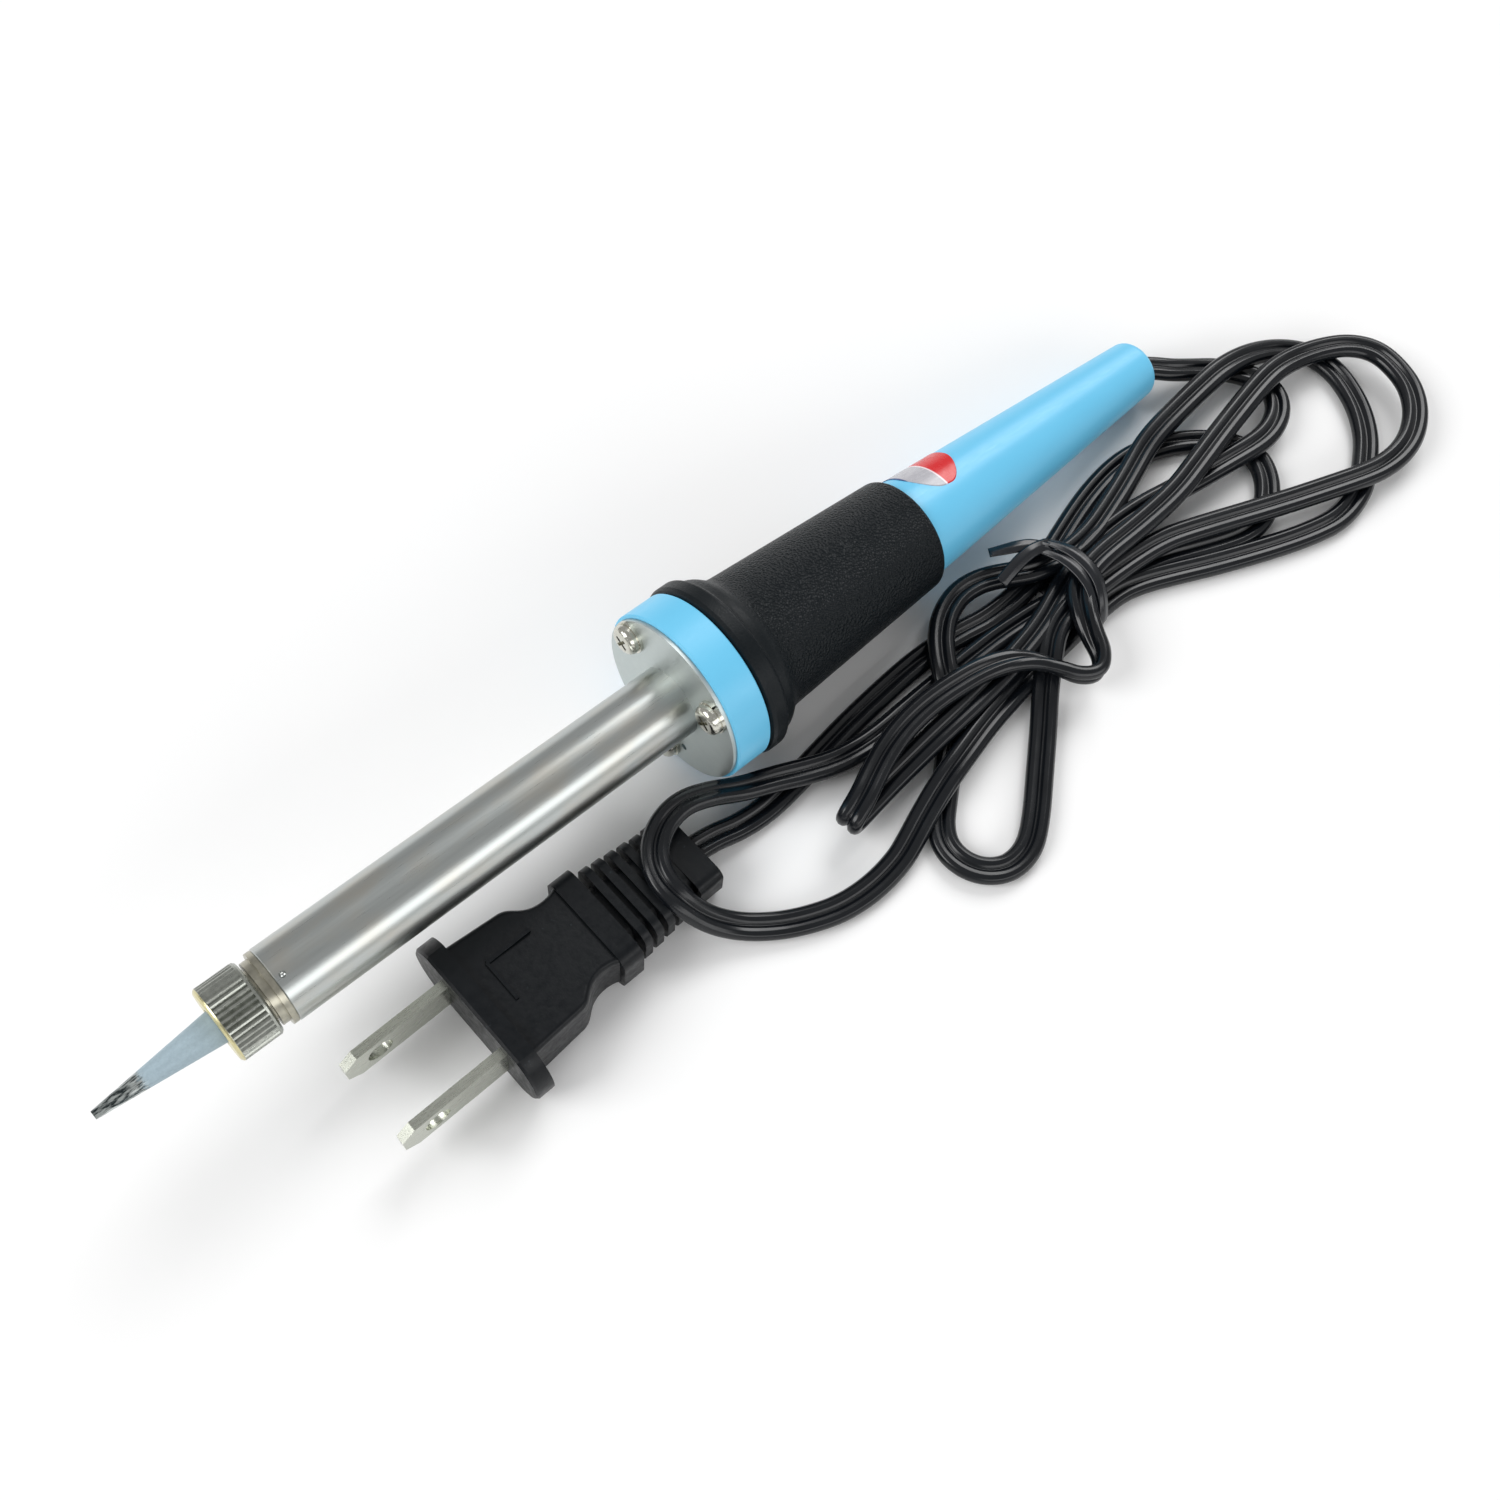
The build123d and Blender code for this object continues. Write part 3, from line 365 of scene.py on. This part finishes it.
WIDE_LOOP = [
    (66.9, -18.1, 3.7, 0),
    (77.5, -15.4, 3.7, 0),
    (83.8, -13.4, 3.7, 0),
    (88.0, -12.0, 3.9, 0),
    (92.0, -11.2, 4.3, 0),
    (97.4, -10.7, 4.6, 0),
    (104.6, -10.2, 4.9, 0),
    (109.3, -10.0, 4.9, 0),
    (113.8, -10.3, 4.4, 0),
    (118.0, -11.1, 3.6, 0),
    (122.2, -12.7, 2.6, 0),
    (125.4, -15.0, 1.8, 0),
    (127.2, -17.4, 1.4, 0),
    (127.7, -20.1, 1.3, 0),
    (127.4, -23.1, 1.3, 0),
    (126.3, -26.4, 1.3, 0),
    (124.5, -30.0, 1.3, 0),
    (121.9, -33.4, 1.3, 0),
    (118.9, -36.2, 1.3, 0),
    (112.8, -40.2, 1.3, 0),
    (109.1, -41.5, 1.3, 0),
    (105.2, -42.1, 1.3, 0),
    (101.3, -41.8, 1.3, 0),
    (93.7, -39.4, 1.3, 0),
    (82.1, -34.4, 1.3, 0),
    (74.7, -30.7, 1.3, 0),
    (69.5, -28.3, 1.3, 0),
    (64.9, -27.1, 1.3, 0),
    (57.6, -27.2, 1.3, 0),
]
LONG_LOOP_OUT = [
    (49.2, -27.6, 1.3, 0),
    (40.0, -28.8, 1.7, 0),
    (32.4, -29.9, 2.6, 0),
    (24.7, -31.7, 3.6, 0),
    (19.5, -32.9, 3.7, 0),
    (14.3, -34.4, 2.8, 0),
    (10.2, -35.8, 1.7, 0),
]
LOOP = [
    (6.4, -37.0, 1.3, 0),
    (0.7, -37.5, 1.3, 0),
    (-5.0, -36.8, 1.3, 0),
    (-10.2, -34.7, 1.3, 0),
    (-14.6, -32.1, 1.4, 0),
    (-18.7, -28.8, 2.2, 0),
    (-21.9, -25.4, 4.8, 0),
    (-23.7, -21.6, 8.6, 0),
    (-23.6, -17.5, 9.4, 0),
    (-21.5, -14.0, 9.4, 0),
    (-18.0, -11.8, 9.4, 4),
    (-13.7, -11.2, 9.3, 12),
    (-9.2, -12.4, 7.9, 16),
    (-4.8, -14.1, 5.6, 14),
    (0.3, -15.8, 4.6, 6),
]
LONG_LOOP_BACK = [
    (5.3, -18.0, 3.9, 0),
    (9.4, -19.7, 3.7, 0),
    (13.6, -20.6, 3.6, 0),
    (18.8, -20.7, 2.6, 0),
    (25.3, -20.2, 1.5, 0),
    (39.2, -20.2, 1.3, 0),
    (46.7, -20.5, 1.3, 0),
    (57.6, -22.0, 1.3, 0),
]
SMALL_LOOP = [
    (68.5, -25.6, 1.3, 0),
    (75.4, -27.6, 1.3, 0),
    (80.4, -29.9, 1.3, 0),
    (85.1, -32.0, 1.3, 0),
    (89.2, -33.5, 1.3, 0),
    (93.3, -33.8, 1.3, 0),
    (97.0, -32.4, 1.3, 0),
    (99.9, -30.2, 1.3, 0),
    (101.9, -27.8, 1.3, 0),
    (103.1, -25.1, 1.3, 0),
    (102.7, -22.1, 1.3, 0),
    (101.2, -19.4, 1.3, 0),
    (99.1, -17.1, 1.3, 0),
    (96.4, -14.9, 1.3, 0),
    (93.5, -13.1, 1.3, 0),
    (90.5, -11.9, 1.3, 0),
    (87.1, -10.9, 1.3, 0),
    (82.6, -10.7, 1.3, 0),
    (77.4, -11.3, 1.3, 0),
    (72.3, -12.4, 1.3, 0),
    (66.0, -14.2, 1.3, 0),
    (58.0, -16.7, 1.3, 0),
]
PLUG_RUN = [
    (47.0, -17.2, 1.3, 0),
    (40.4, -15.7, 1.3, 0),
    (35.0, -15.1, 1.3, 0),
    (29.2, -14.9, 1.3, 0),
    (17.3, -15.6, 1.3, 0),
    (10.5, -16.4, 1.3, 0),
    (3.3, -17.3, 1.3, 0),
]
TAIL = [
    (-2.8, -17.8, 1.3, 0),
    (-8.2, -17.3, 1.8, 0),
    (-12.6, -16.4, 3.4, 0),
    (-16.17, -16.22, 4.03, 0),
]
ROUTE = (
    LEAD + FOLD_UNDER + FOLD_OVER + FAR_LOOP + NEAR_LOOP + WIDE_LOOP
    + LONG_LOOP_OUT + LOOP + LONG_LOOP_BACK + SMALL_LOOP + PLUG_RUN + TAIL
)


def spline_points(name, points, resolution):
    """Points of the open quadratic NURBS spline that has the given control points."""
    curve = bpy.data.curves.new(name, "CURVE")
    curve.dimensions = "3D"
    spline = curve.splines.new("NURBS")
    spline.points.add(len(points) - 1)
    for point, place in zip(spline.points, points):
        point.co = (*place, 1.0)
    spline.order_u = 3
    spline.use_endpoint_u = True
    spline.resolution_u = resolution
    holder = bpy.data.objects.new(name, curve)
    bpy.context.scene.collection.objects.link(holder)
    bpy.context.view_layer.update()
    mesh = bpy.data.meshes.new_from_object(holder)
    found = [vertex.co.copy() for vertex in mesh.vertices]
    bpy.data.objects.remove(holder)
    bpy.data.curves.remove(curve)
    bpy.data.meshes.remove(mesh)
    return found


LEVEL_PULL = 0.35  # share by which each section of the cord turns back to lying flat


def strip_mesh(name, line, leans, profile):
    """Tube of a constant profile along a line; its profile's X lies level, turned by the lean."""
    mesh = bpy.data.meshes.new(name)
    vertices = []
    faces = []
    count = len(profile)
    across = None
    for step, centre in enumerate(line):
        ahead = (line[min(step + 1, len(line) - 1)] - line[max(step - 1, 0)]).normalized()
        level = ahead.cross(Vector((0, 0, 1)))
        if across is None:
            across = level.normalized()
        carried = (across - ahead * across.dot(ahead)).normalized()
        if level.dot(carried) < 0:
            level = -level
        pull = LEVEL_PULL * min(1.0, level.length) ** 2
        across = (carried * (1 - pull) + level * pull).normalized()
        lean = math.radians(leans[step])
        over = across.cross(ahead).normalized()
        wide = across * math.cos(lean) + over * math.sin(lean)
        thick = wide.cross(ahead).normalized()
        for x, y in profile:
            vertices.append(centre + wide * x * MM + thick * y * MM)
        if step:
            for k in range(count):
                low, next_low = (step - 1) * count + k, (step - 1) * count + (k + 1) % count
                faces.append((low, next_low, next_low + count, low + count))
    faces.append(tuple(range(count - 1, -1, -1)))
    faces.append(tuple(range(len(vertices) - count, len(vertices))))
    mesh.from_pydata(vertices, [], faces)
    mesh.validate()
    mesh.update()
    for polygon in mesh.polygons:
        polygon.use_smooth = True
    return mesh


def show(name, mesh, paint, body):
    """Link a finished mesh as a piece that rides on a body."""
    piece = bpy.data.objects.new(name, mesh)
    bpy.context.scene.collection.objects.link(piece)
    mesh.materials.append(paint.material)
    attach(piece, body)
    return piece


LOBE_REACH = 140  # degrees of each core's round that show, each way from its outer edge
RIDGE_ANGLES = (52, 84, 116)
RIDGE_SPREAD = 5.0
RIDGE_RISE = 0.04
GROOVE_Y = 0.5


def twin_profile():
    """Outline of the flat two-core cord: two round cores, a groove between them and fine ridges."""
    lobe_r = CORD_T / 2
    lobe_x = CORD_W / 2 - lobe_r
    half = []
    for degrees in range(-LOBE_REACH, LOBE_REACH + 1, 8):
        swell = sum(math.exp(-(((abs(degrees) - ridge) / RIDGE_SPREAD) ** 2)) for ridge in RIDGE_ANGLES)
        radius = lobe_r - RIDGE_RISE + RIDGE_RISE * swell
        angle = math.radians(degrees)
        half.append((lobe_x + radius * math.cos(angle), radius * math.sin(angle)))
    return half + [(0.0, GROOVE_Y)] + [(-x, -y) for x, y in half] + [(0.0, -GROOVE_Y)]


cord_line = spline_points("route", [(x * MM, y * MM, z * MM) for x, y, z, lean in ROUTE], CORD_STEP)
lean_points = [(x, y, lean) for x, y, z, lean in ROUTE]
cord_leans = [place.z for place in spline_points("lean", lean_points, CORD_STEP)]

cord_paint = Paint("cord_pvc", srgb(10, 13, 17), 0.25)
cord_paint.shader.inputs["Specular IOR Level"].default_value = 0.42
smudge = cord_paint.noise(cord_paint.place, 140, 4, 0.6)
cord_paint.colour(cord_paint.mix(smudge, srgb(7, 9, 13), srgb(15, 19, 24)))
cord_paint.roughness(cord_paint.spread(smudge, 0.3, 0.7, 0.17, 0.3))
cord_paint.bump(cord_paint.noise(cord_paint.place, 900, 3, 0.6), 0.008, 0.5)
cord_mesh = strip_mesh("cord", cord_line, cord_leans, twin_profile())
cord = show("cord", cord_mesh, cord_paint, "iron")
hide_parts("cord_lead", "cord_loop", "cord_tail", "cord_hank")


# ---------------------------------------------------------------- twist tie
TIE_STEP = 8
tie_paint = Paint("tie_film", srgb(14, 17, 21), 0.25)
tie_smudge = tie_paint.noise(tie_paint.place, 300, 3)
tie_paint.colour(tie_paint.mix(tie_smudge, srgb(9, 11, 15), srgb(26, 30, 36)))
tie_paint.bump(tie_paint.noise(tie_paint.place, 700, 3), 0.03, 0.6)
TIE_BAND = [
    (58.4, -14.9, 6.3),
    (58.0, -13.4, 4.2),
    (58.0, -13.6, 1.1),
    (57.8, -18.0, 0.25),
    (57.6, -25.0, 0.25),
    (56.8, -29.8, 0.9),
    (56.4, -30.2, 4.0),
    (57.6, -28.2, 6.7),
    (59.2, -24.8, 8.2),
    (59.6, -20.0, 8.3),
    (59.0, -16.6, 7.5),
    (58.2, -14.6, 7.0),
]
TIE_SHIFT = 1.9  # the second turn lies beside the first
TIE_SECOND = [(x + TIE_SHIFT, y * 0.99 - 0.1, z + 0.15) for x, y, z in TIE_BAND]
TIE_ENDS = [
    [(59.6, -16.8, 7.3), (58.0, -14.4, 8.0), (55.6, -12.8, 8.2), (53.6, -11.6, 7.8), (51.7, -10.3, 7.3)],
    [(60.4, -15.6, 7.1), (57.6, -15.0, 8.3), (55.0, -14.8, 8.2), (52.0, -15.0, 7.7), (49.2, -15.5, 7.3)],
]
TIE_PROFILE = [(-1.15, 0.0), (-0.85, 0.16), (-0.3, 0.2), (0, 0.34), (0.3, 0.2), (0.85, 0.16),
               (1.15, 0.0), (0.85, -0.14), (0, -0.2), (-0.85, -0.14)]


def wrap_mesh(name, points, profile, middle):
    """Ribbon along a spline, its profile's flat side facing a middle line parallel to X."""
    line = spline_points(name, [(x * MM, y * MM, z * MM) for x, y, z in points], TIE_STEP)
    mesh = bpy.data.meshes.new(name)
    vertices = []
    faces = []
    count = len(profile)
    for step, centre in enumerate(line):
        ahead = (line[min(step + 1, len(line) - 1)] - line[max(step - 1, 0)]).normalized()
        outwards = Vector((0, centre.y - middle[0] * MM, centre.z - middle[1] * MM))
        outwards = (outwards - ahead * outwards.dot(ahead)).normalized()
        wide = ahead.cross(outwards).normalized()
        for x, y in profile:
            vertices.append(centre + wide * x * MM + outwards * y * MM)
        if step:
            for k in range(count):
                low, next_low = (step - 1) * count + k, (step - 1) * count + (k + 1) % count
                faces.append((low, low + count, next_low + count, next_low))
    faces.append(tuple(range(count)))
    faces.append(tuple(range(len(vertices) - 1, len(vertices) - count - 1, -1)))
    mesh.from_pydata(vertices, [], faces)
    mesh.update()
    for polygon in mesh.polygons:
        polygon.use_smooth = True
    return mesh


TIE_MIDDLE = (-22.0, 3.9)
TIE_LOW = (-13.0, 1.7)
for name, points, middle in (
    ("tie_band_a", TIE_BAND, TIE_MIDDLE),
    ("tie_band_b", TIE_SECOND, TIE_MIDDLE),
    ("tie_end_a", TIE_ENDS[0], TIE_LOW),
    ("tie_end_b", TIE_ENDS[1], TIE_LOW),
):
    ribbon = wrap_mesh(name, points, TIE_PROFILE, middle)
    show(name, ribbon, tie_paint, "iron")
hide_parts("twist_tie")


# ---------------------------------------------------------------- tip
tip_paint = Paint("tip_plating", srgb(152, 179, 197), 0.5, 0.35)
tip_station = tip_paint.station()
tip_grain = tip_paint.noise(tip_paint.local(2.2, 2.2), 1, 5, 0.65)
tip_plate = tip_paint.mix(tip_grain, srgb(146, 165, 176), srgb(178, 197, 206))
TINNED_FROM = 7.4
TINNED_TO = 8.4
tin_edge = tip_paint.math("ADD", tip_station, tip_paint.math("MULTIPLY", tip_grain, 2.4))
tinned = tip_paint.spread(tin_edge, TINNED_FROM, TINNED_TO, 1.0, 0.0)
tin_streak = tip_paint.spread(tip_paint.noise(tip_paint.local(0.45, 3.2), 1, 4, 0.6), 0.42, 0.56)
tin = tip_paint.mix(tin_streak, srgb(58, 66, 68), srgb(204, 210, 208))
tip_paint.colour(tip_paint.mix(tinned, tip_plate, tin))
tip_paint.roughness(tip_paint.spread(tinned, 0, 1, 0.55, 0.3))
tip_paint.metallic(tip_paint.spread(tinned, 0, 1, 0.3, 1.0))
tip_paint.bump(tip_paint.noise(tip_paint.local(6, 6), 1, 4, 0.6), 0.05, 0.5)
tip_paint.on("tip")

# ---------------------------------------------------------------- nickel and steel
nut_paint = Paint("nut_nickel", srgb(176, 176, 164), 0.28, 1.0)
nut_station = nut_paint.station()
nut_wear = nut_paint.noise(nut_paint.local(1.2, 1.2), 1, 5, 0.65)
nut_tone = nut_paint.mix(nut_wear, srgb(150, 154, 148), srgb(182, 184, 176))
NUT_LIP = (17.0, 17.75)
nut_lip = nut_paint.band(nut_station, *NUT_LIP, 0.05)
nut_paint.colour(nut_paint.mix(nut_lip, nut_tone, srgb(214, 206, 160)))
nut_paint.roughness(nut_paint.spread(nut_wear, 0.3, 0.7, 0.2, 0.38))
nut_paint.bump(nut_paint.noise(nut_paint.local(5, 5), 1, 4), 0.03, 0.6)
nut_paint.on("tip_nut")

bush_paint = Paint("bush_nickel", srgb(170, 168, 156), 0.3, 1.0)
bush_paint.bump(bush_paint.noise(bush_paint.local(14, 0.6), 1, 3), 0.02, 0.7)
bush_wear = bush_paint.noise(bush_paint.local(1, 1), 1, 4)
bush_paint.colour(bush_paint.mix(bush_wear, srgb(140, 138, 126), srgb(200, 196, 180)))
bush_paint.on("neck_bush")

barrel_paint = Paint("barrel_steel", srgb(196, 198, 194), 0.3, 1.0)
streaks = barrel_paint.noise(barrel_paint.local(0.12, 5.0), 1, 4, 0.6)
rings = barrel_paint.noise(barrel_paint.local(9.0, 0.25), 1, 3, 0.6)
cloud = barrel_paint.noise(barrel_paint.local(0.12, 0.3), 1, 3, 0.5)
steel_tone = barrel_paint.mix(streaks, srgb(180, 185, 184), srgb(194, 198, 196))
barrel_paint.colour(barrel_paint.mix(barrel_paint.spread(cloud, 0.45, 0.75), steel_tone, srgb(192, 190, 182)))
barrel_paint.roughness(barrel_paint.spread(streaks, 0.3, 0.7, 0.27, 0.33))
barrel_paint.bump(streaks, 0.004, 0.5)
barrel_paint.bump(rings, 0.001, 0.4)
barrel_paint.on("barrel_tube")

plate_paint = Paint("plate_steel", srgb(190, 196, 194), 0.36, 1.0)
mottle = plate_paint.noise(plate_paint.local(1, 0.7), 1, 5, 0.65)
plate_paint.colour(plate_paint.mix(mottle, srgb(186, 195, 194), srgb(208, 215, 213)))
plate_paint.roughness(plate_paint.spread(mottle, 0.3, 0.7, 0.38, 0.5))
plate_paint.bump(plate_paint.noise(plate_paint.local(1, 4), 1, 4, 0.6), 0.01, 0.5)
plate_paint.on("flange_plate")

screw_paint = Paint("screw_nickel", srgb(214, 214, 204), 0.18, 1.0)
screw_wear = screw_paint.noise(screw_paint.local(3, 3), 1, 4, 0.6)
screw_paint.colour(screw_paint.mix(screw_wear, srgb(186, 184, 170), srgb(228, 228, 220)))
screw_paint.roughness(screw_paint.spread(screw_wear, 0.3, 0.7, 0.12, 0.3))
screw_paint.bump(screw_wear, 0.03, 0.5)
screw_paint.on("flange_screws", "screw_washers")

# ---------------------------------------------------------------- handle, label and grip
handle_paint = Paint("handle_plastic", srgb(112, 196, 236), 0.34)
handle_cloud = handle_paint.noise(handle_paint.local(0.06, 0.12), 1, 3)
handle_paint.colour(handle_paint.mix(handle_cloud, srgb(102, 193, 232), srgb(113, 201, 239)))
handle_rub = handle_paint.noise(handle_paint.local(0.4, 2.5), 1, 4)
handle_paint.roughness(handle_paint.spread(handle_rub, 0.3, 0.7, 0.28, 0.42))
handle_paint.bump(handle_paint.noise(handle_paint.local(0.5, 0.5), 1, 3), 0.05, 0.25)
handle_paint.bump(handle_paint.noise(handle_paint.local(7, 7), 1, 3), 0.01, 0.4)
handle_paint.on("handle")

label_paint = Paint("label_film", srgb(210, 30, 34), 0.25)
label_station = label_paint.station()
LABEL_FRONT = (143.9, 144.1)
LABEL_SPLIT = (148.3, 148.5)
red_half = label_paint.spread(label_station, *LABEL_SPLIT)
grip_edge = label_paint.spread(label_station, *LABEL_FRONT, 1.0, 0.0)
foil = label_paint.noise(label_paint.local(0.5, 3), 1, 3)
silver = label_paint.mix(foil, srgb(160, 158, 166), srgb(196, 196, 200))
two_tone = label_paint.mix(red_half, silver, srgb(208, 26, 32))
lined = label_paint.mix(label_paint.band(label_station, 148.2, 148.5, 0.06), two_tone, srgb(236, 222, 226))
label_paint.colour(label_paint.mix(grip_edge, lined, srgb(40, 60, 120)))
label_rub = label_paint.noise(label_paint.local(1, 1), 1, 3)
label_paint.roughness(label_paint.spread(label_rub, 0.3, 0.7, 0.2, 0.32))
label_paint.bump(label_paint.noise(label_paint.local(0.6, 0.6), 1, 2), 0.03, 0.3)
label_paint.on("label")

grip_paint = Paint("grip_rubber", srgb(12, 19, 23), 0.45)
grip_paint.shader.inputs["Specular IOR Level"].default_value = 0.2
pebble = grip_paint.cells(grip_paint.local(1, 1), 2.4)
grain = grip_paint.noise(grip_paint.local(1, 1), 3.2, 4, 0.6)
specks = grip_paint.spread(grip_paint.noise(grip_paint.local(1, 1), 2.1, 6, 0.75), 0.68, 0.76)
grip_paint.colour(grip_paint.mix(specks, srgb(10, 17, 21), srgb(58, 70, 76)))
grip_paint.roughness(grip_paint.spread(grain, 0.3, 0.7, 0.3, 0.52))
GRAIN_FROM = (105.5, 107.5)  # behind the smooth bell of the grip
on_body = grip_paint.spread(grip_paint.station(), *GRAIN_FROM)
grip_paint.bump(grip_paint.math("MULTIPLY", pebble, on_body), 0.22, 1.0)
grip_paint.bump(grain, 0.06, 0.6)
grip_paint.on("grip_sleeve")

# ---------------------------------------------------------------- plug
plug_paint = Paint("plug_plastic", srgb(9, 13, 17), 0.38)
plug_paint.shader.inputs["Specular IOR Level"].default_value = 0.24
plug_grain = plug_paint.noise(plug_paint.place, 900, 4, 0.6)
plug_dust = plug_paint.spread(plug_paint.noise(plug_paint.place, 420, 5, 0.7), 0.66, 0.74)
plug_paint.colour(plug_paint.mix(plug_dust, srgb(8, 12, 16), srgb(44, 52, 56)))
plug_paint.roughness(plug_paint.spread(plug_grain, 0.3, 0.7, 0.28, 0.46))
plug_paint.bump(plug_grain, 0.05, 0.6)
plug_paint.on("plug_body")

blade_paint = Paint("blade_nickel", srgb(196, 194, 182), 0.26, 1.0)
blade_scratch = blade_paint.noise(blade_paint.vector(
    blade_paint.along(Vector((0.998, 0.031, 0)) * 0.3),
    blade_paint.along(Vector((0, 1, 0)) * 3),
    blade_paint.along(Vector((0, 0, 1)) * 6),
), 1, 4, 0.6)
blade_paint.colour(blade_paint.mix(blade_scratch, srgb(188, 191, 180), srgb(202, 204, 194)))
blade_paint.roughness(blade_paint.spread(blade_scratch, 0.3, 0.7, 0.24, 0.32))
blade_paint.bump(blade_scratch, 0.003, 0.5)
blade_paint.on("plug_blades")

# ---------------------------------------------------------------- inner parts
ceramic_paint = Paint("heater_ceramic", srgb(232, 228, 216), 0.7)
ceramic_paint.bump(ceramic_paint.noise(ceramic_paint.local(3, 3), 1, 4), 0.05, 0.5)
ceramic_paint.on("heater_core", "heater_bead")
wire_paint = Paint("heater_wire", srgb(120, 112, 104), 0.4, 1.0)
wire_paint.bump(wire_paint.noise(wire_paint.local(6, 2), 1, 3), 0.05, 0.5)
wire_paint.on("heater_winding", "heater_leads")
mica_paint = Paint("mica", srgb(196, 176, 132), 0.35)
mica_layers = mica_paint.noise(mica_paint.local(0.4, 1.6), 1, 4)
mica_paint.colour(mica_paint.mix(mica_layers, srgb(176, 152, 104), srgb(214, 200, 164)))
mica_paint.on("mica_wrap")
brass_paint = Paint("crimp_brass", srgb(204, 170, 96), 0.35, 1.0)
brass_paint.bump(brass_paint.noise(brass_paint.place, 700, 3), 0.05, 0.5)
brass_paint.on("wire_crimps", "plug_wires")
core_paint = Paint("core_insulation", srgb(36, 38, 42), 0.5)
core_paint.bump(core_paint.noise(core_paint.place, 700, 3), 0.03, 0.5)
core_paint.on("cord_cores")
cord_paint.on("cord_inlet")
nylon_paint = Paint("clamp_nylon", srgb(226, 222, 208), 0.5)
nylon_paint.bump(nylon_paint.noise(nylon_paint.place, 500, 3), 0.04, 0.5)
nylon_paint.on("cord_clamp", "plug_bridge")
